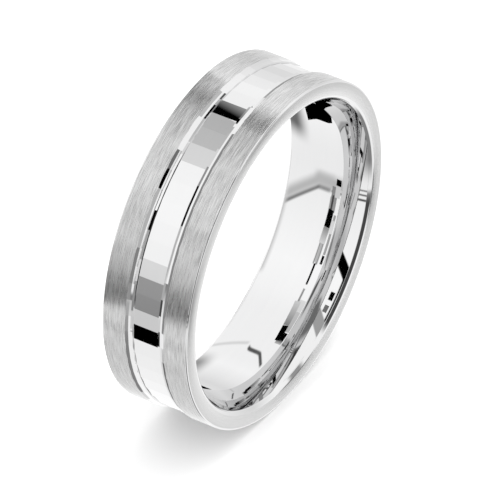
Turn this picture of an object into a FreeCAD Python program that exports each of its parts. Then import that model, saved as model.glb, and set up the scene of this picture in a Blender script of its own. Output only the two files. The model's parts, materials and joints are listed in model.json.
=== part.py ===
import FreeCAD, Part

import math
import os

import Sketcher

# A 6 mm wedding band: two satin rails and a polished, faceted centre band on a comfort-fit sleeve.
#
# Frame: millimetres, the finger axis along Y, +Z up, the origin at the centre of the bore.
# Every piece starts as a section on its own body's YZ plane and is turned once round Y. A corner of
# a section is (place across the band, radius), both written as expressions on the Sizes sheet.

# alias, value in millimetres (facet_count is a count), what it is
SIZES = [
    ("band_width", 6.0, "across the band, from side face to side face"),
    ("bore_radius", 9.6, "the land that the finger meets, at the middle of the bore"),
    ("land_width", 0.8, "width of that land, which is a true cylinder"),
    ("throat_radius", 10.018, "where the bore's long curve meets the round of the mouth"),
    ("mouth_radius", 10.254, "where the round of the mouth meets the side face"),
    ("mouth_width", 0.167, "how far that round reaches in from the side face"),
    ("sleeve_radius", 10.45, "outside of the sleeve, and the seat of the other three rings"),
    ("rail_radius", 11.2, "outside of the satin rails"),
    ("edge_round", 0.12, "round between a rail's satin outside and its side face"),
    ("channel_width", 2.36, "between the two rails, which the centre band fills"),
    ("bevel_width", 0.19, "polished bevel on each rail, beside the centre band"),
    ("bevel_drop", 0.08, "how far that bevel falls"),
    ("floor_width", 1.74, "the row of flat facets along the middle of the centre band"),
    ("floor_radius", 11.01, "from the axis to the middle of a facet"),
    ("step_width", 0.03, "the steep step between the facets and the ledge on each side"),
    ("step_height", 0.08, "how far that step rises"),
    ("ledge_rise", 0.03, "how far the ledge rises from the step to the rail"),
    ("facet_count", 58, "facets round the centre band"),
    ("cutter_spare", 0.1, "how far the facet cut reaches past the centre band"),
]

HALF_BAND = "Sizes.band_width / 2"
HALF_LAND = "Sizes.land_width / 2"
HALF_CHANNEL = "Sizes.channel_width / 2"
BEVEL_TOP = f"{HALF_CHANNEL} + Sizes.bevel_width"
BEVEL_FOOT_RADIUS = "Sizes.rail_radius - Sizes.bevel_drop"
HALF_FLOOR = "Sizes.floor_width / 2"
STEP_TOP = f"{HALF_FLOOR} + Sizes.step_width"
STEP_RADIUS = "Sizes.floor_radius + Sizes.step_height"
LEDGE_RADIUS = f"{STEP_RADIUS} + Sizes.ledge_rise"
CUTTER_EDGE = f"{HALF_CHANNEL} + Sizes.cutter_spare"
CUTTER_TOP = "Sizes.rail_radius + Sizes.cutter_spare"

PARTS_FOLDER = "parts"
ORIGIN_POINT = (-1, 1)
START = 1
END = 2
FULL_TURN = 360
HALF_TURN = 180
# A turn other than none gives a placement its axis; an expression then sets how far it turns.
ROUGH_TURN = 1


def make_sheet(doc):
    """Write the driving dimensions into a spreadsheet, each with a word for its name."""
    sheet = doc.addObject("Spreadsheet::Sheet", "Sizes")
    for row, (alias, value, note) in enumerate(SIZES, start=1):
        sheet.set(f"A{row}", alias)
        sheet.set(f"B{row}", str(value))
        sheet.set(f"C{row}", note)
        sheet.setAlias(f"B{row}", alias)
    doc.recompute()


def base_feature(body, role):
    """One of the body's own origin planes or axes, by its role."""
    return next(item for item in body.Origin.OriginFeatures if item.Role == role)


def new_body(doc, label):
    body = doc.addObject("PartDesign::Body", label)
    body.Label = label
    return body


def new_section(body, name):
    """An empty sketch on the body's own YZ plane."""
    sketch = body.newObject("Sketcher::SketchObject", name)
    sketch.AttachmentSupport = [(base_feature(body, "YZ_Plane"), "")]
    sketch.MapMode = "FlatFace"
    sketch.Visibility = False
    return sketch


def point_now(sketch, corner):
    """Where the two expressions of a corner put it."""
    across, radius = (float(sketch.evalExpression(expression)) for expression in corner)
    return FreeCAD.Vector(across, radius, 0)


def tangent_arc(start, end, straight):
    """An anticlockwise arc from start to end, tangent at one of them to a line along straight."""
    chord = end - start
    outward = FreeCAD.Vector(chord.y, -chord.x, 0)
    middle = (start + end + outward * math.tan(chord.getAngle(straight) / 2)) / 2
    return Part.Arc(start, middle, end)


def draw_loop(sketch, corners, arcs=None):
    """Draw a closed loop, anticlockwise, with an edge from each corner to the next.

    arcs gives, for the number of each edge that is an arc, the straight edge that it is tangent to.
    """
    arcs = arcs or {}
    points = [point_now(sketch, corner) for corner in corners]
    ends = points[1:] + points[:1]
    edges = []
    for number, (start, end) in enumerate(zip(points, ends)):
        if number in arcs:
            straight = arcs[number]
            shape = tangent_arc(start, end, ends[straight] - points[straight])
        else:
            shape = Part.LineSegment(start, end)
        edges.append(sketch.addGeometry(shape, False))
    for number, edge in enumerate(edges):
        following = (number + 1) % len(edges)
        tangent = arcs.get(number) == following or arcs.get(following) == number
        kind = "Tangent" if tangent else "Coincident"
        sketch.addConstraint(Sketcher.Constraint(kind, edge, END, edges[following], START))
    for edge, corner, point in zip(edges, corners, points):
        for axis, expression, place in zip("XY", corner, point):
            constraint = Sketcher.Constraint(f"Distance{axis}", *ORIGIN_POINT, edge, START, place)
            index = sketch.addConstraint(constraint)
            sketch.setExpression(f"Constraints[{index}]", expression)


def turn(body, sketch, name):
    """Turn a section once round Y, the finger axis."""
    ring = body.newObject("PartDesign::Revolution", name)
    ring.Profile = sketch
    ring.ReferenceAxis = (base_feature(body, "Y_Axis"), [""])
    ring.Angle = FULL_TURN
    return ring


def mirrored(corners):
    """The same corners on the other side of the band's middle, in the opposite order."""
    return [(f"-({across})", radius) for across, radius in reversed(corners)]


def make_sleeve(doc):
    """The comfort-fit liner: a cylindrical land in the bore, and on each side a long curve and a
    rounded mouth out to the side face."""
    body = new_body(doc, "comfort_fit_sleeve")
    section = new_section(body, "sleeve_section")
    far_side = [
        (HALF_LAND, "Sizes.bore_radius"),
        (f"{HALF_BAND} - Sizes.mouth_width", "Sizes.throat_radius"),
        (HALF_BAND, "Sizes.mouth_radius"),
        (HALF_BAND, "Sizes.sleeve_radius"),
    ]
    far_curve, far_mouth, far_face = 0, 1, 2
    near_face, near_mouth, near_curve, land = 4, 5, 6, 7
    tangents = {far_curve: land, far_mouth: far_face, near_mouth: near_face, near_curve: land}
    draw_loop(section, far_side + mirrored(far_side), arcs=tangents)
    turn(body, section, "sleeve_ring")
    return body


def make_rail(doc, label):
    """A satin rail on the +Y side: square on the sleeve, rounded outside, bevelled inside."""
    body = new_body(doc, label)
    section = new_section(body, label + "_section")
    corners = [
        (HALF_CHANNEL, "Sizes.sleeve_radius"),
        (HALF_BAND, "Sizes.sleeve_radius"),
        (HALF_BAND, "Sizes.rail_radius - Sizes.edge_round"),
        (f"{HALF_BAND} - Sizes.edge_round", "Sizes.rail_radius"),
        (BEVEL_TOP, "Sizes.rail_radius"),
        (HALF_CHANNEL, BEVEL_FOOT_RADIUS),
    ]
    side_face, round_edge = 1, 2
    draw_loop(section, corners, arcs={round_edge: side_face})
    turn(body, section, label + "_ring")
    return body


def make_facet_band(doc):
    """The polished centre band: a plain ring, with one flat facet cut and repeated all round.

    One cut makes the flat floor, the steep step on each side of it and the ledge above that.
    """
    body = new_body(doc, "facet_band")
    blank_section = new_section(body, "facet_band_section")
    far_side = [
        (HALF_CHANNEL, "Sizes.sleeve_radius"),
        (HALF_CHANNEL, "Sizes.rail_radius"),
    ]
    draw_loop(blank_section, far_side + mirrored(far_side))
    turn(body, blank_section, "facet_band_blank")

    cut_section = new_section(body, "facet_section")
    far_cut = [
        (HALF_FLOOR, "Sizes.floor_radius"),
        (STEP_TOP, STEP_RADIUS),
        (CUTTER_EDGE, LEDGE_RADIUS),
        (CUTTER_EDGE, CUTTER_TOP),
    ]
    draw_loop(cut_section, far_cut + mirrored(far_cut))
    facet = body.newObject("PartDesign::Pocket", "facet_cut")
    facet.Profile = cut_section
    facet.Type = "ThroughAll"
    facet.SideType = "Symmetric"

    facets = body.newObject("PartDesign::PolarPattern", "facets")
    facets.Originals = [facet]
    facets.Axis = (base_feature(body, "Y_Axis"), [""])
    facets.Angle = FULL_TURN
    facets.setExpression("Occurrences", "Sizes.facet_count")
    body.Tip = facets

    # A facet's edge, not its middle, is at the top of the ring.
    rough_turn = FreeCAD.Rotation(FreeCAD.Vector(0, 1, 0), ROUGH_TURN)
    body.Placement = FreeCAD.Placement(FreeCAD.Vector(), rough_turn)
    body.setExpression("Placement.Rotation.Angle", "180 deg / Sizes.facet_count")
    return body


def make_pieces(doc):
    """The four rings of the band, in their places."""
    rail_far = make_rail(doc, "rail_far")
    rail_near = make_rail(doc, "rail_near")
    half_turn = FreeCAD.Rotation(FreeCAD.Vector(0, 0, 1), HALF_TURN)
    rail_near.Placement = FreeCAD.Placement(FreeCAD.Vector(), half_turn)
    return [make_sleeve(doc), make_facet_band(doc), rail_far, rail_near]


def check_document(doc, pieces):
    """Stop if anything in the document failed, or a piece isn't one sound solid."""
    failed = [item.Name for item in doc.Objects if {"Invalid", "Error"} & set(item.State)]
    if failed:
        raise RuntimeError(f"these objects failed: {failed}")
    for piece in pieces:
        shape = piece.Shape
        if shape.isNull() or not shape.isValid() or len(shape.Solids) != 1:
            raise RuntimeError(f"{piece.Label} is not one sound solid")
    blank = doc.getObject("facet_band_blank").Shape.Volume
    one_facet = blank - doc.getObject("facet_cut").Shape.Volume
    all_facets = blank - doc.getObject("facets").Shape.Volume
    if one_facet <= 0 or all_facets <= one_facet:
        raise RuntimeError("the facet cut or its pattern removed nothing")


def write_parts(pieces):
    os.makedirs(PARTS_FOLDER, exist_ok=True)
    for piece in pieces:
        piece.Shape.exportStep(os.path.join(PARTS_FOLDER, piece.Label + ".step"))
        print(f"{piece.Label}: {piece.Shape.Volume:.1f} mm3")


def main():
    doc = FreeCAD.newDocument("WeddingBand")
    make_sheet(doc)
    pieces = make_pieces(doc)
    doc.recompute()
    check_document(doc, pieces)
    write_parts(pieces)


main()
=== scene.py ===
from collections import namedtuple
import json
import math

import bpy
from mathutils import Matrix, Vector


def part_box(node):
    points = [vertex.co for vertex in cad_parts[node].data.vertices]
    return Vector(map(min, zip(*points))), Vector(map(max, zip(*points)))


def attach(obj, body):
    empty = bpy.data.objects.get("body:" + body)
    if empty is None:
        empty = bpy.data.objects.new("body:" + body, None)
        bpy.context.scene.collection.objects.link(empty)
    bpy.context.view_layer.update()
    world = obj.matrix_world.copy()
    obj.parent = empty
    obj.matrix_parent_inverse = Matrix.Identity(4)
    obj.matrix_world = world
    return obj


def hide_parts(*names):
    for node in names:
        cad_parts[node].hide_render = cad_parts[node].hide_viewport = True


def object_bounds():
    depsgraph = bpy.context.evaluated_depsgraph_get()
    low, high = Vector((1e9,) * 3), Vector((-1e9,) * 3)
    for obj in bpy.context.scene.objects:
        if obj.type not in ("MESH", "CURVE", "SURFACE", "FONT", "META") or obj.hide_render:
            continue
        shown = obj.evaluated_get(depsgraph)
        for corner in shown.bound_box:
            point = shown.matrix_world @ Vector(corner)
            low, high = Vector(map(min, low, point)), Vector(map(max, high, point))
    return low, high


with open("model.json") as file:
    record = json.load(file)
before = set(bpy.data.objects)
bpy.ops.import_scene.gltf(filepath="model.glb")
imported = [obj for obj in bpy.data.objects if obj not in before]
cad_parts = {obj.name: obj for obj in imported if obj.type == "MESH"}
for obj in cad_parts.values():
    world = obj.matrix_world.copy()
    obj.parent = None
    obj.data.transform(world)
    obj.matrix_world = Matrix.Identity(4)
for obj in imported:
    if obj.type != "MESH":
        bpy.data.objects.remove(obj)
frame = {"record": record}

# A wedding band: a polished comfort-fit sleeve, a row of bright-cut facets in a channel, and a satin
# rail on each side. The finger axis is +Y, +Z is up, and the origin is the centre of the bore.
# A place on the band is (turn, across, radius): turn is the angle round Y in degrees, 0 at the top
# and growing towards +X. Lengths below are in millimetres, except where a name ends in _m.

MM = 0.001
FULL_TURN = 360
cad_low, cad_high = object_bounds()


def node_reach(node):
    """How far a CAD node reaches across the band and out from the axis, in millimetres."""
    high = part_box(node)[1]
    return high.y / MM, high.x / MM


def record_mount(name):
    return next(mount for mount in frame["record"]["mounts"] if mount["name"] == name)


# Sizes of the CAD model.
HALF_BAND, RAIL_RADIUS = node_reach("rail_far")
HALF_CHANNEL = node_reach("facet_band")[0]
SEAT_RADIUS = node_reach("comfort_fit_sleeve")[1]
BORE_RADIUS = record_mount("finger_bore")["dims"]["r_mm"]
HALF_LAND = record_mount("finger_bore")["dims"]["length_mm"] / 2
FACET_COUNT = 58
THROAT_RADIUS = 10.018
MOUTH_RADIUS = 10.254
MOUTH_WIDTH = 0.167
EDGE_ROUND = 0.12
BEVEL_WIDTH = 0.19
BEVEL_DROP = 0.08
HALF_FLOOR = 0.87
FLOOR_RADIUS = 11.01
STEP_TOP = 0.90
STEP_RADIUS = 11.09

# Detail that only the visual pieces have: where the ledge changes slope, a slight crown on each
# facet and dome on each side face, and, in degrees, joints that aren't quite evenly spaced.
LEDGE_BREAK = 1.04
LEDGE_BREAK_RADIUS = 11.0975
FACET_CROWN = 0.0036
FACE_DOME = 0.03
UNEVEN_SWING = 1.3
UNEVEN_PLACES = 4
UNEVEN_START = 14
FLOOR_JOINT_SHIFT = -0.2
FAR_JOINT_SHIFT = 2.7
NEAR_JOINT_SHIFT = 1.0

# How finely the meshes are divided, and how close two turns are, in degrees, to count as one.
FACET_STEPS = 12
TURN_STEPS = 720
CURVE_STEPS = 28
ROUND_STEPS = 8
FLAT_STEPS = 6
SAME_TURN = 1e-4


# ---------------------------------------------------------------- shape

def facet_joint(number, shift):
    """Turn of one joint between facets, which are narrower at four places round the band."""
    even = number * FULL_TURN / FACET_COUNT
    swing = math.cos(math.radians(UNEVEN_PLACES * (even + UNEVEN_START)))
    return even + UNEVEN_SWING * swing + FLOOR_JOINT_SHIFT + shift


class FacetRow:
    """A row of nearly flat facets, whose middles are at one distance from the axis."""

    def __init__(self, shift):
        self.joints = [facet_joint(number, shift) for number in range(FACET_COUNT)]
        self.spans = [
            (start, end if end > start else end + FULL_TURN)
            for start, end in zip(self.joints, self.joints[1:] + self.joints[:1])
        ]

    def radius(self, turn, middle_radius):
        """Radius at a turn: the facet's plane, with a very slight crown."""
        for start, end in self.spans:
            offset = (turn - start) % FULL_TURN
            if offset <= end - start:
                half = (end - start) / 2
                from_middle = offset - half
                crown = FACET_CROWN * (from_middle / half) ** 2
                return middle_radius / math.cos(math.radians(from_middle)) - crown
        return middle_radius


FLOOR_ROW = FacetRow(0.0)
FAR_ROW = FacetRow(FAR_JOINT_SHIFT)
NEAR_ROW = FacetRow(NEAR_JOINT_SHIFT)


def band_turns(*rows):
    """Turns to build at: every joint of the rows, with even steps between them."""
    joints = sorted({round(joint % FULL_TURN, 6) for row in rows for joint in row.joints})
    turns = []
    for start, end in zip(joints, joints[1:] + [joints[0] + FULL_TURN]):
        steps = max(1, round(FACET_STEPS * (end - start) * FACET_COUNT / FULL_TURN))
        turns += [start + (end - start) * step / steps for step in range(steps)]
    return turns


def even_turns():
    return [step * FULL_TURN / TURN_STEPS for step in range(TURN_STEPS)]


def is_joint(row, turn):
    half = FULL_TURN / 2
    return any(abs((turn - joint + half) % FULL_TURN - half) < SAME_TURN for joint in row.joints)


def line(start, end, steps):
    """Points of a straight edge, without its end."""
    return [
        tuple(a + (b - a) * step / steps for a, b in zip(start, end)) for step in range(steps)
    ]


def arc(centre, radius, from_angle, to_angle, steps):
    """Points of an arc, both ends included; 0 degrees is towards +Y and 90 is outwards."""
    points = []
    for step in range(steps + 1):
        angle = math.radians(from_angle + (to_angle - from_angle) * step / steps)
        points.append((centre[0] + radius * math.cos(angle), centre[1] + radius * math.sin(angle)))
    return points


def mark_sharp(mesh, turns, count, sharp_corners, joints):
    """Keep sharp the edges round the ring at some loop points, and the joints across it."""
    sharp = set()
    for step, turn in enumerate(turns):
        here, there = step * count, (step + 1) % len(turns) * count
        for corner in sharp_corners:
            sharp.add(frozenset((here + corner, there + corner)))
        if joints:
            for strip in range(count):
                if joints(strip, turn):
                    sharp.add(frozenset((here + strip, here + (strip + 1) % count)))
    for edge in mesh.edges:
        edge.use_edge_sharp = frozenset(edge.vertices) in sharp


def ring_mesh(name, turns, section, sharp_corners, joints=None, materials=None):
    """A closed ring swept round Y.

    section(turn) gives the loop of (across, radius) points, the same number at every turn.
    sharp_corners are the numbers of the loop's points that are sharp edges all round.
    joints(strip, turn) tells whether the strip after a loop point has a sharp joint at a turn.
    materials gives the material number of each strip.
    """
    loops = [section(turn) for turn in turns]
    count = len(loops[0])
    vertices = []
    for turn, loop in zip(turns, loops):
        angle = math.radians(turn)
        for across, radius in loop:
            place = (radius * math.sin(angle) * MM, across * MM, radius * math.cos(angle) * MM)
            vertices.append(place)
    faces = []
    for step in range(len(turns)):
        here, there = step * count, (step + 1) % len(turns) * count
        for strip in range(count):
            after = (strip + 1) % count
            faces.append((here + strip, there + strip, there + after, here + after))
    mesh = bpy.data.meshes.new(name)
    mesh.from_pydata(vertices, [], faces)
    mesh.shade_smooth()
    mark_sharp(mesh, turns, count, sharp_corners, joints)
    if materials:
        for number, polygon in enumerate(mesh.polygons):
            polygon.material_index = materials[number % count]
    mesh.validate()
    piece = bpy.data.objects.new(name, mesh)
    bpy.context.scene.collection.objects.link(piece)
    return piece


def side_face(start_radius, end_radius):
    """The side face between two radii, a little domed by polishing, without its first point."""
    middle = (MOUTH_RADIUS + RAIL_RADIUS - EDGE_ROUND) / 2
    half = (RAIL_RADIUS - EDGE_ROUND - MOUTH_RADIUS) / 2
    points = []
    for step in range(1, FLAT_STEPS + 1):
        radius = start_radius + (end_radius - start_radius) * step / FLAT_STEPS
        points.append((HALF_BAND - FACE_DOME * ((radius - middle) / half) ** 2, radius))
    return points


def make_sleeve(polished, side_finish):
    """The comfort-fit liner: a cylindrical land, then a long curve and a rounded mouth each side."""
    run = HALF_BAND - MOUTH_WIDTH - HALF_LAND
    rise = THROAT_RADIUS - BORE_RADIUS
    curve_radius = (run * run + rise * rise) / (2 * rise)
    sweep = math.degrees(math.asin(run / curve_radius))
    curve_centre = (HALF_LAND, BORE_RADIUS + curve_radius)
    curve = arc(curve_centre, curve_radius, -90, -90 + sweep, CURVE_STEPS)
    mouth_height = MOUTH_RADIUS - THROAT_RADIUS
    mouth_round = (MOUTH_WIDTH ** 2 + mouth_height ** 2) / (2 * MOUTH_WIDTH)
    mouth_centre = (HALF_BAND - FACE_DOME - mouth_round, MOUTH_RADIUS)
    mouth = arc(mouth_centre, mouth_round, -90 + sweep, 0, ROUND_STEPS)[1:]
    far_side = curve + mouth + side_face(MOUTH_RADIUS, SEAT_RADIUS)
    near_side = [(-across, radius) for across, radius in reversed(far_side)]
    outside = line(far_side[-1], near_side[0], FLAT_STEPS)[1:]
    land = line(near_side[-1], far_side[0], FLAT_STEPS)[1:]
    loop = far_side + outside + near_side + land
    far_corner = len(far_side) - 1
    near_corner = far_corner + len(outside) + 1
    on_bore, on_side = 0, 1
    finish = [on_bore] * len(loop)
    for first in (far_corner - FLAT_STEPS, near_corner):
        finish[first:first + FLAT_STEPS] = [on_side] * FLAT_STEPS
    sleeve = ring_mesh(
        "sleeve", even_turns(), lambda turn: loop, {far_corner, near_corner}, materials=finish
    )
    sleeve.data.materials.append(polished)
    sleeve.data.materials.append(side_finish)
    return sleeve


def flank_foot(row, turn):
    """Radius where the ledge beside the facets meets the bevel of the rail."""
    return row.radius(turn, RAIL_RADIUS - BEVEL_DROP)


def make_facet_band(polished):
    """The centre band: flat facets, and on each side a steep step and a ledge of two slopes."""

    def side(row, turn):
        return [
            (HALF_FLOOR, FLOOR_ROW.radius(turn, FLOOR_RADIUS)),
            (STEP_TOP, row.radius(turn, STEP_RADIUS)),
            (LEDGE_BREAK, row.radius(turn, LEDGE_BREAK_RADIUS)),
            (HALF_CHANNEL, flank_foot(row, turn)),
            (HALF_CHANNEL, SEAT_RADIUS),
        ]

    def section(turn):
        near = [(-across, radius) for across, radius in side(NEAR_ROW, turn)]
        far = side(FAR_ROW, turn)
        floor = line(near[0], far[0], FLAT_STEPS)[1:]
        seat = line(far[-1], near[-1], FLAT_STEPS)[1:]
        return near[::-1] + floor + far + seat

    side_points = 5
    first_far = side_points + FLAT_STEPS - 1
    corners = set(range(side_points)) | set(range(first_far, first_far + side_points))

    def joints(strip, turn):
        if strip < side_points - 1:
            row = NEAR_ROW
        elif strip < first_far:
            row = FLOOR_ROW
        else:
            row = FAR_ROW
        return is_joint(row, turn)

    turns = band_turns(FLOOR_ROW, FAR_ROW, NEAR_ROW)
    band = ring_mesh("facet_ring", turns, section, corners, joints)
    band.data.materials.append(polished)
    return band


def make_rail(name, row, sign, finishes):
    """A satin rail: a faceted bevel, the brushed outside, a polished round and the side face.

    sign is 1 on the +Y side and -1 on the other, where the same loop is mirrored. finishes are the
    materials of the outside, of the polished bevel and round, and of the side face.
    """
    bevel_slope = BEVEL_DROP / BEVEL_WIDTH
    flat_end = HALF_BAND - EDGE_ROUND
    face_top = RAIL_RADIUS - EDGE_ROUND
    edge = [
        (min(across, HALF_BAND - FACE_DOME), radius)
        for across, radius in arc((flat_end, face_top), EDGE_ROUND, 90, 0, ROUND_STEPS)
    ]

    def section(turn):
        foot = flank_foot(row, turn)
        bevel_top = HALF_CHANNEL + (RAIL_RADIUS - foot) / bevel_slope
        outside = line((bevel_top, RAIL_RADIUS), (flat_end, RAIL_RADIUS), FLAT_STEPS)
        face = side_face(face_top, SEAT_RADIUS)
        loop = [(HALF_CHANNEL, SEAT_RADIUS), (HALF_CHANNEL, foot)] + outside + edge + face
        if sign < 0:
            loop = [(-across, radius) for across, radius in reversed(loop)]
        return loop

    count = len(section(0))
    corners = {0, 1, 2, count - 1}
    on_outside, on_polish, on_side = 0, 1, 2
    finish = [on_polish] * 2 + [on_outside] * FLAT_STEPS + [on_polish] * ROUND_STEPS
    finish += [on_side] * (count - len(finish))
    bevel_strip = 1
    if sign < 0:
        corners = {count - 1 - corner for corner in corners}
        finish = finish[:-1][::-1] + finish[-1:]
        bevel_strip = count - 2 - bevel_strip

    def joints(strip, turn):
        return strip == bevel_strip and is_joint(row, turn)

    rail = ring_mesh(name, band_turns(row), section, corners, joints, finish)
    for material in finishes:
        rail.data.materials.append(material)
    return rail


# ---------------------------------------------------------------- nodes

class Graph:
    """Short ways to add nodes to a tree."""

    def __init__(self, tree):
        self.tree = tree

    def add(self, kind, **settings):
        node = self.tree.nodes.new(kind)
        for name, value in settings.items():
            setattr(node, name, value)
        return node

    def put(self, socket, value):
        if isinstance(value, bpy.types.NodeSocket):
            self.tree.links.new(value, socket)
        else:
            socket.default_value = value

    def math(self, operation, *values):
        node = self.add("ShaderNodeMath", operation=operation)
        for socket, value in zip(node.inputs, values):
            self.put(socket, value)
        return node.outputs[0]

    def vector(self, operation, *values):
        node = self.add("ShaderNodeVectorMath", operation=operation)
        for socket, value in zip(node.inputs, values):
            self.put(socket, value)
        scalar = operation in ("DOT_PRODUCT", "LENGTH")
        return node.outputs["Value" if scalar else "Vector"]

    def split(self, vector):
        node = self.add("ShaderNodeSeparateXYZ")
        self.put(node.inputs[0], vector)
        return node.outputs

    def remap(self, value, from_low, from_high, to_low, to_high, smooth=False):
        node = self.add("ShaderNodeMapRange")
        node.interpolation_type = "SMOOTHSTEP" if smooth else "LINEAR"
        names = ("Value", "From Min", "From Max", "To Min", "To Max")
        for name, number in zip(names, (value, from_low, from_high, to_low, to_high)):
            self.put(node.inputs[name], number)
        return node.outputs["Result"]

    def blend(self, share, low, high):
        node = self.add("ShaderNodeMix", data_type="FLOAT")
        for name, value in zip(("Factor", "A", "B"), (share, low, high)):
            self.put(node.inputs[name], value)
        return node.outputs["Result"]


# ---------------------------------------------------------------- materials

# Most of a noise lies between these.
NOISE_LOW, NOISE_HIGH = 0.3, 0.7
# A shader takes its anisotropic rotation as a share of a turn.
QUARTER_TURN = 0.25


def grey(value):
    return (value, value, value)


def spread(graph, noise, low, high):
    """Stretch a noise from its usual range to another."""
    return graph.remap(noise, NOISE_LOW, NOISE_HIGH, low, high)


def radius_now(graph):
    """Distance from the finger axis, in metres."""
    place = graph.add("ShaderNodeTexCoord").outputs["Object"]
    return graph.vector("LENGTH", graph.vector("MULTIPLY", place, (1.0, 0.0, 1.0)))


def streaks(graph, length, width, detail=2.0):
    """Noise drawn out along the brushing: long round the band, fine across and along the radius."""
    place = graph.add("ShaderNodeTexCoord").outputs["Object"]
    radius = radius_now(graph)
    along, over = 1 / (length * MM), 1 / (width * MM)
    stretched = graph.vector("MULTIPLY", place, (along, over, along))
    noise = graph.add("ShaderNodeTexNoise", noise_dimensions="4D")
    graph.put(noise.inputs["Vector"], stretched)
    graph.put(noise.inputs["W"], graph.math("MULTIPLY", radius, over))
    graph.put(noise.inputs["Scale"], 1.0)
    graph.put(noise.inputs["Detail"], detail)
    return noise.outputs["Fac"]


def new_metal(name, color, roughness):
    """A metal with a plain colour and roughness, which each finish then varies."""
    material = bpy.data.materials.new(name)
    material.use_nodes = True
    shader = material.node_tree.nodes["Principled BSDF"]
    shader.inputs["Base Color"].default_value = (*color, 1.0)
    shader.inputs["Metallic"].default_value = 1.0
    shader.inputs["Roughness"].default_value = roughness
    return material, Graph(material.node_tree), shader


def tinted(graph, shader, share, dark, light):
    """Link a base colour that runs between two greys."""
    ramp = graph.add("ShaderNodeMix", data_type="RGBA")
    graph.put(ramp.inputs["Factor"], share)
    graph.put(ramp.inputs["A"], (*dark, 1.0))
    graph.put(ramp.inputs["B"], (*light, 1.0))
    graph.put(shader.inputs["Base Color"], ramp.outputs["Result"])


def bumped(graph, shader, height, strength, depth):
    bump = graph.add("ShaderNodeBump")
    graph.put(bump.inputs["Height"], height)
    graph.put(bump.inputs["Strength"], strength)
    graph.put(bump.inputs["Distance"], depth * MM)
    graph.put(shader.inputs["Normal"], bump.outputs["Normal"])


def brush_tangent(graph, shader):
    """Brushing runs round the band, so the gloss spreads across it."""
    tangent = graph.add("ShaderNodeTangent", direction_type="RADIAL", axis="Y")
    graph.put(shader.inputs["Tangent"], tangent.outputs["Tangent"])
    shader.inputs["Anisotropic Rotation"].default_value = QUARTER_TURN


def polished_alloy():
    """Nearly a mirror, with faint marks of wiping round the band."""
    material, graph, shader = new_metal("polished_alloy", grey(0.66), roughness=0.03)
    wipe = streaks(graph, length=2.5, width=0.25)
    graph.put(shader.inputs["Roughness"], spread(graph, wipe, 0.015, 0.04))
    tinted(graph, shader, wipe, (0.65, 0.65, 0.655), grey(0.67))
    return material


def satin_alloy():
    """Brushed round the band, in fine lighter and darker lines."""
    material, graph, shader = new_metal("satin_alloy", grey(0.63), roughness=0.3)
    brushing = streaks(graph, length=1.1, width=0.05, detail=3.0)
    graph.put(shader.inputs["Roughness"], spread(graph, brushing, 0.24, 0.34))
    tinted(graph, shader, spread(graph, brushing, 0.0, 1.0), grey(0.38), grey(0.77))
    shader.inputs["Anisotropic"].default_value = 0.95
    brush_tangent(graph, shader)
    bumped(graph, shader, brushing, strength=0.35, depth=0.004)
    return material


def side_alloy():
    """A fine circular brushing, with painted shade: the colour is darker towards the outer edge and
    lighter towards the bore.
    """
    material, graph, shader = new_metal("side_alloy", grey(0.56), roughness=0.25)
    brushing = streaks(graph, length=4.0, width=0.08)
    graph.put(shader.inputs["Roughness"], spread(graph, brushing, 0.22, 0.28))
    inner, outer = MOUTH_RADIUS * MM, RAIL_RADIUS * MM
    # Painted shade: the base colour runs from light at the bore to dark at the outer edge.
    painted_brightness = graph.remap(radius_now(graph), inner, outer, 0.9, 0.1)
    share = graph.math("ADD", painted_brightness, spread(graph, brushing, -0.1, 0.1))
    tinted(graph, shader, share, grey(0.46), grey(0.64))
    shader.inputs["Anisotropic"].default_value = 0.8
    brush_tangent(graph, shader)
    return material


def floor_white():
    material = bpy.data.materials.new("floor_white")
    material.use_nodes = True
    shader = material.node_tree.nodes["Principled BSDF"]
    shader.inputs["Base Color"].default_value = (*grey(0.95), 1.0)
    shader.inputs["Roughness"].default_value = 1.0
    shader.inputs["Specular IOR Level"].default_value = 0.0
    return material


# ---------------------------------------------------------------- light tent

# Direction from the ring to the camera.
VIEW = Vector((-0.66323, -0.41527, 0.62264)).normalized()

# The lighting is laid out by what the band mirrors to the camera. A spot is named by the turn and
# tilt, in degrees, of the mirror surface that shows it: turn as above, and tilt 0 facing straight
# out from the band's middle, 90 facing the near side.

# How bright a white wall is to the metal, and the even light that the tent throws on the floor.
TENT_STRENGTH = 1.42
FLOOR_LIGHT = 1.45
# Every grey below is a share of TENT_STRENGTH. First the tent's wall: (turn, grey).
TENT_WALL = [
    (-180, 0.95), (-110, 0.92), (-93, 0.88), (-84, 0.88), (-66, 0.92),
    (-58, 0.95), (-46, 0.99), (-35, 0.96), (-27, 0.92), (-6, 0.92), (-2, 0.92),
    (4, 0.95), (12, 0.84), (20, 0.70), (40, 0.80), (80, 0.95), (180, 0.95),
]

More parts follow.
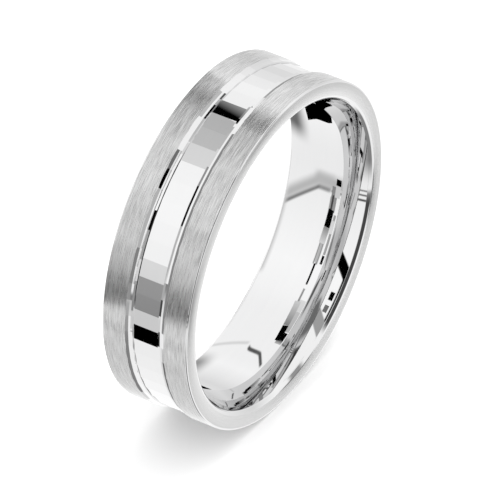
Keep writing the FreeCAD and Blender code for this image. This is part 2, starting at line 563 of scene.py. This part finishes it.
# A small card close to the band. It fills the turns and tilts that it names, for a surface at one
# place across the band, and its grey runs from the first turn to the last.
Card = namedtuple("Card", "name turns tilts across distance greys")
CARD_STEPS = 12
CARDS = [
    Card("left_flag", (-91.2, -87.8), (-2.5, 2.5), 0.0, 30, (0.00, 0.00)),
    Card("left_pale", (-87.5, -81.6), (-2.5, 2.5), 0.0, 30, (0.62, 0.62)),
    Card("left_grey", (-81.5, -70.5), (-1, 3), 0.0, 90, (0.25, 0.33)),
    Card("left_shade", (-70.4, -64.0), (-2.5, 2.5), 0.0, 30, (0.68, 0.75)),
    Card("right_pale", (-30.5, -24.6), (-3, 3), 0.0, 30, (0.73, 0.69)),
    Card("right_grey", (-24.5, -13.0), (-3, 3), 0.0, 30, (0.55, 0.46)),
    Card("right_flag", (-12.5, -8.2), (-3, 3), 0.0, 30, (0.00, 0.00)),
    Card("right_flag_edge", (-8.2, -5.5), (-3, 3), 0.0, 30, (0.00, 0.54)),
    Card("far_satin_left", (-79.0, -67.5), (11, 20), 2.1, 15, (0.00, 0.00)),
    Card("near_satin_left", (-79.0, -69.0), (-20, -11), -2.1, 15, (0.00, 0.00)),
    Card("far_satin_right", (-13.0, -4.0), (11, 20), 2.1, 15, (0.00, 0.00)),
    Card("near_satin_right", (-12.0, -2.0), (-20, -11), -2.1, 15, (0.00, 0.00)),
    Card("far_satin_left_shade", (-67.3, -60.0), (11, 20), 2.1, 15, (0.27, 0.69)),
    Card("near_satin_left_shade", (-68.8, -60.0), (-20, -11), -2.1, 15, (0.27, 0.69)),
    Card("far_satin_right_shade", (-27.0, -13.2), (11, 20), 2.1, 15, (0.62, 0.23)),
    Card("near_satin_right_shade", (-27.0, -12.2), (-20, -11), -2.1, 15, (0.62, 0.23)),
    Card("bevel_flag", (-39.5, -35.5), (21, 25), 1.3, 30, (0.00, 0.00)),
    Card("bevel_grey", (-33.0, -29.5), (21, 25), 1.3, 30, (0.16, 0.16)),
    Card("ledge_flag", (-46.5, -42.7), (7.8, 10.8), 1.1, 30, (0.00, 0.00)),
    Card("ledge_left", (-80.5, -73.5), (8.0, 10.5), 1.1, 15, (0.06, 0.06)),
    Card("ledge_shade", (-72.0, -48.6), (7.8, 10.8), 1.1, 30, (0.27, 0.38)),
    Card("ledge_shade_right", (-40.5, -29.5), (7.8, 10.8), 1.1, 30, (0.15, 0.27)),
    Card("inner_ledge_shade", (-72.0, -53.4), (2.0, 4.0), 1.0, 40, (0.35, 0.38)),
    Card("near_ledge_shade", (-73.0, -49.2), (-3.8, -2.2), -1.0, 40, (0.42, 0.50)),
    Card("inner_ledge_flag", (-53.0, -49.0), (2.0, 4.0), 1.0, 40, (0.00, 0.00)),
    Card("near_ledge_left", (-80.5, -73.5), (-3.8, -2.2), -1.0, 40, (0.06, 0.06)),
    Card("near_ledge_flag", (-48.5, -38.5), (-3.8, -2.2), -1.0, 40, (0.00, 0.00)),
    Card("near_ledge_grey", (-36.5, -28.0), (-3.8, -2.2), -1.0, 40, (0.30, 0.30)),
]

# A soft-edged panel of the tent, far from the band. lean is how much its turn grows with tilt, and
# softness is how far its edges fade, in degrees. A later panel lies over an earlier one.
Panel = namedtuple("Panel", "name turn tilt half_width half_height lean grey softness")
PANELS = [
    Panel("left_stripe_dark", -76.2, 11, 0.45, 10, 0.0, 0.10, 0.3),
    Panel("left_stripe_middle", -78.2, 11, 0.35, 10, 0.0, 0.15, 0.3),
    Panel("left_stripe_pale", -80.0, 11, 0.35, 10, 0.0, 0.25, 0.3),
    Panel("left_fade_far", -79.5, 4, 2.6, 6, 0.0, 0.50, 2.5),
    Panel("left_column", -77.0, 51, 3.0, 30, 0.0, 0.28, 1.5),
    Panel("left_column_end", -77.0, 82, 9.0, 10, 0.0, 0.15, 4.0),
    Panel("left_line", -70.8, -9, 0.9, 9.5, -0.6, 0.08, 0.8),
    Panel("left_fade_near", -73.8, -9, 2.6, 10, -0.6, 0.50, 2.5),
    Panel("pale_band", -53.0, -19.5, 14, 2.0, 0.0, 0.6, 1.8),
    Panel("right_column", -8.0, 62, 4.0, 26, 0.0, 0.30, 2.0),
    Panel("right_column_end", -10.0, 82, 10.0, 10, 0.0, 0.2, 4.0),
    Panel("edge_band", -53.0, 44, 25, 18, 0.0, 0.06, 3.0),
    Panel("far_bevel_middle", -51.5, 22.8, 10.5, 1.6, 0.0, 0.46, 0.4),
    Panel("far_bevel_left", -68.0, 22.8, 6.0, 1.6, 0.0, 0.23, 0.4),
    Panel("far_bevel_stripe", -77.0, 22.8, 3.0, 1.6, 0.0, 0.30, 0.4),
    Panel("far_bevel_right", -8.0, 22.8, 7.0, 1.6, 0.0, 0.52, 0.4),
    Panel("far_bevel_end", -85.5, 22.8, 5.0, 1.6, 0.0, 0.40, 0.4),
    Panel("near_bevel", -50.0, -22.8, 35, 1.8, 0.0, 0.25, 0.5),
    Panel("right_bar", -5.3, 2.2, 1.0, 3.0, 1.1, 0.10, 0.6),
    Panel("right_line", -7.5, -11, 0.8, 9, -0.3, 0.70, 0.8),
    Panel("mouth_flag", -50.0, 17.3, 2.8, 4.2, 0.85, 0.0, 0.4),
    Panel("mouth_line", -38.0, 18.8, 9.0, 0.5, 0.0, 0.0, 0.3),
    Panel("mouth_grey", -28.5, 17.0, 3.2, 4.5, 0.8, 0.35, 0.5),
    Panel("land_line", -61.0, 1.4, 13, 0.35, 0.0, 0.25, 0.3),
    Panel("land_band", -61.0, 2.9, 13, 0.55, 0.0, 0.30, 0.3),
    Panel("back_far", -106.0, 35, 18, 20, 0.0, 0.22, 6),
    Panel("back_near", -110.0, -24, 15, 14, 0.0, 0.15, 5),
    Panel("top_near", 14.0, -27, 12, 14, 0.0, 0.3, 5),
]

# A black sheet on the floor behind the band, which only the metal's reflections show: its front left
# and back right corners, as (x, y).
DARK_PATCH = ((6.6, 5.2), (13.0, 9.4))
DARK_PATCH_LIFT = 0.05

# The colour attribute that holds the light of a card or of the black sheet on the floor.
GLOW = "glow"


def seen_direction(turn, tilt):
    """Where a mirror surface with this turn and tilt looks, for the camera."""
    turn, tilt = math.radians(turn), math.radians(tilt)
    normal = Vector((
        math.cos(tilt) * math.sin(turn), -math.sin(tilt), math.cos(tilt) * math.cos(turn)
    ))
    return 2 * normal.dot(VIEW) * normal - VIEW


def glow():
    """Light of the grey that a prop's own corners carry."""
    material = bpy.data.materials.new("card_glow")
    material.use_nodes = True
    tree = material.node_tree
    tree.nodes.clear()
    graph = Graph(tree)
    shade = graph.add("ShaderNodeAttribute", attribute_name=GLOW)
    light = graph.add("ShaderNodeEmission")
    graph.put(light.inputs["Color"], shade.outputs["Color"])
    output = graph.add("ShaderNodeOutputMaterial")
    graph.put(output.inputs["Surface"], light.outputs[0])
    return material


def studio_prop(name, vertices, faces, shades, material):
    """A glowing surface that only the metal's reflections show."""
    mesh = bpy.data.meshes.new(name)
    mesh.from_pydata([vertex * MM for vertex in vertices], [], faces)
    colors = mesh.color_attributes.new(GLOW, "FLOAT_COLOR", "POINT")
    for entry, shade in zip(colors.data, shades):
        entry.color = (*grey(shade), 1.0)
    mesh.materials.append(material)
    prop = bpy.data.objects.new(name, mesh)
    bpy.context.scene.collection.objects.link(prop)
    prop.visible_camera = False
    prop.visible_diffuse = False
    prop.visible_shadow = False
    return prop


def between(pair, share):
    return pair[0] + (pair[1] - pair[0]) * share


def make_card(card, material):
    vertices, faces, shades = [], [], []
    for column in range(CARD_STEPS + 1):
        tilt = between(card.tilts, column / CARD_STEPS)
        for row in range(CARD_STEPS + 1):
            turn = between(card.turns, row / CARD_STEPS)
            angle = math.radians(turn)
            x, z = RAIL_RADIUS * math.sin(angle), RAIL_RADIUS * math.cos(angle)
            place = Vector((x, card.across, z))
            vertices.append(place + seen_direction(turn, tilt) * card.distance)
            shades.append(between(card.greys, row / CARD_STEPS) * TENT_STRENGTH)
    for column in range(CARD_STEPS):
        for row in range(CARD_STEPS):
            here = column * (CARD_STEPS + 1) + row
            there = here + CARD_STEPS + 1
            faces.append((here, here + 1, there + 1, there))
    return studio_prop(card.name, vertices, faces, shades, material)


# A black sheet on the floor behind the band, which only the metal's reflections show.
def make_dark_patch(material):
    (left, front), (right, back) = DARK_PATCH
    height = cad_low.z / MM + DARK_PATCH_LIFT
    corners = [(left, front), (right, front), (right, back), (left, back)]
    vertices = [Vector((x, y, height)) for x, y in corners]
    return studio_prop("dark_patch", vertices, [(0, 1, 2, 3)], [0.0] * len(corners), material)


def tent_panel(graph, light, turn, tilt, panel):
    """Lay one soft-edged panel over the light so far."""
    up = graph.math("SUBTRACT", tilt, float(panel.tilt))
    side = graph.math("SUBTRACT", turn, float(panel.turn))
    side = graph.math("SUBTRACT", side, graph.math("MULTIPLY", up, float(panel.lean)))
    shares = []
    for offset, half in ((side, panel.half_width), (up, panel.half_height)):
        full, none = half - panel.softness, half + panel.softness
        shares.append(graph.remap(graph.math("ABSOLUTE", offset), full, none, 1.0, 0.0, True))
    laid = graph.blend(graph.math("MULTIPLY", *shares), light, float(panel.grey))
    laid.node.label = panel.name
    return laid


def make_world():
    """A light tent: shaded to the metal, an even light to the floor and white to the camera."""
    world = bpy.data.worlds.new("light_tent")
    bpy.context.scene.world = world
    world.use_nodes = True
    graph = Graph(world.node_tree)
    background = world.node_tree.nodes["Background"]
    direction = graph.add("ShaderNodeTexCoord").outputs["Generated"]
    mirror = graph.vector("NORMALIZE", graph.vector("ADD", direction, tuple(VIEW)))
    x, y, z = graph.split(mirror)
    turn = graph.math("DEGREES", graph.math("ARCTAN2", x, z))
    ramp = graph.add("ShaderNodeValToRGB")
    half = FULL_TURN / 2
    graph.put(ramp.inputs["Fac"], graph.remap(turn, -half, half, 0.0, 1.0))
    stops = ramp.color_ramp.elements
    for number, (at_turn, shade) in enumerate(TENT_WALL):
        place = (at_turn + half) / FULL_TURN
        stop = stops[number] if number < 2 else stops.new(place)
        stop.position = place
        stop.color = (*grey(shade), 1.0)
    tilt = graph.math("DEGREES", graph.math("ARCSINE", graph.math("MULTIPLY", y, -1.0)))
    light = ramp.outputs["Color"]
    for panel in PANELS:
        light = tent_panel(graph, light, turn, tilt, panel)
    sees = graph.add("ShaderNodeLightPath")
    light = graph.math("MULTIPLY", light, TENT_STRENGTH)
    light = graph.blend(sees.outputs["Is Diffuse Ray"], light, FLOOR_LIGHT)
    light = graph.blend(sees.outputs["Is Camera Ray"], light, 1.0)
    graph.put(background.inputs["Color"], light)
    return world


# ---------------------------------------------------------------- studio

def make_floor():
    reach_m = 1.5
    signs = ((-1, -1), (1, -1), (1, 1), (-1, 1))
    corners = [(reach_m * x, reach_m * y, cad_low.z) for x, y in signs]
    mesh = bpy.data.meshes.new("floor")
    mesh.from_pydata(corners, [], [(0, 1, 2, 3)])
    floor = bpy.data.objects.new("floor", mesh)
    bpy.context.scene.collection.objects.link(floor)
    mesh.materials.append(floor_white())
    floor.visible_glossy = False
    return floor


def make_fill():
    """A soft light high on the right, for the floor and its shadow only."""
    size_m, power_in_watts = 0.30, 0.18
    place_m = Vector((0.16, -0.04, 0.36))
    data = bpy.data.lights.new("fill", "AREA")
    data.shape = "DISK"
    data.size = size_m
    data.energy = power_in_watts
    fill = bpy.data.objects.new("fill", data)
    bpy.context.scene.collection.objects.link(fill)
    fill.location = place_m
    fill.rotation_euler = (-place_m).to_track_quat("-Z", "Y").to_euler()
    fill.visible_glossy = False
    return fill


def make_camera():
    distance_m = 0.5291
    shift_right_m, shift_down_m = 0.000378, 0.000617
    nearest_m, furthest_m = 0.01, 100
    data = bpy.data.cameras.new("camera")
    data.sensor_width = 36
    data.lens = 629.5
    data.clip_start = nearest_m
    data.clip_end = furthest_m
    camera = bpy.data.objects.new("camera", data)
    bpy.context.scene.collection.objects.link(camera)
    turned = (-VIEW).to_track_quat("-Z", "Y")
    right, up = turned @ Vector((1, 0, 0)), turned @ Vector((0, 1, 0))
    camera.location = VIEW * distance_m + right * shift_right_m - up * shift_down_m
    camera.rotation_euler = turned.to_euler()
    bpy.context.scene.camera = camera
    return camera


def main():
    polished, satin, side_finish = polished_alloy(), satin_alloy(), side_alloy()
    finishes = (satin, polished, side_finish)
    pieces = [
        (make_sleeve(polished, side_finish), "comfort_fit_sleeve", "polished_alloy"),
        (make_facet_band(polished), "facet_band", "polished_alloy"),
        (make_rail("far_rail", FAR_ROW, 1, finishes), "rail_far", "satin_alloy"),
        (make_rail("near_rail", NEAR_ROW, -1, finishes), "rail_near", "satin_alloy"),
    ]
    for piece, node, slot in pieces:
        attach(piece, "root")
        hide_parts(node)
    make_floor()
    make_fill()
    make_world()
    card_glow = glow()
    for card in CARDS:
        make_card(card, card_glow)
    make_dark_patch(card_glow)
    make_camera()
    bpy.context.scene.view_settings.view_transform = "Standard"


main()
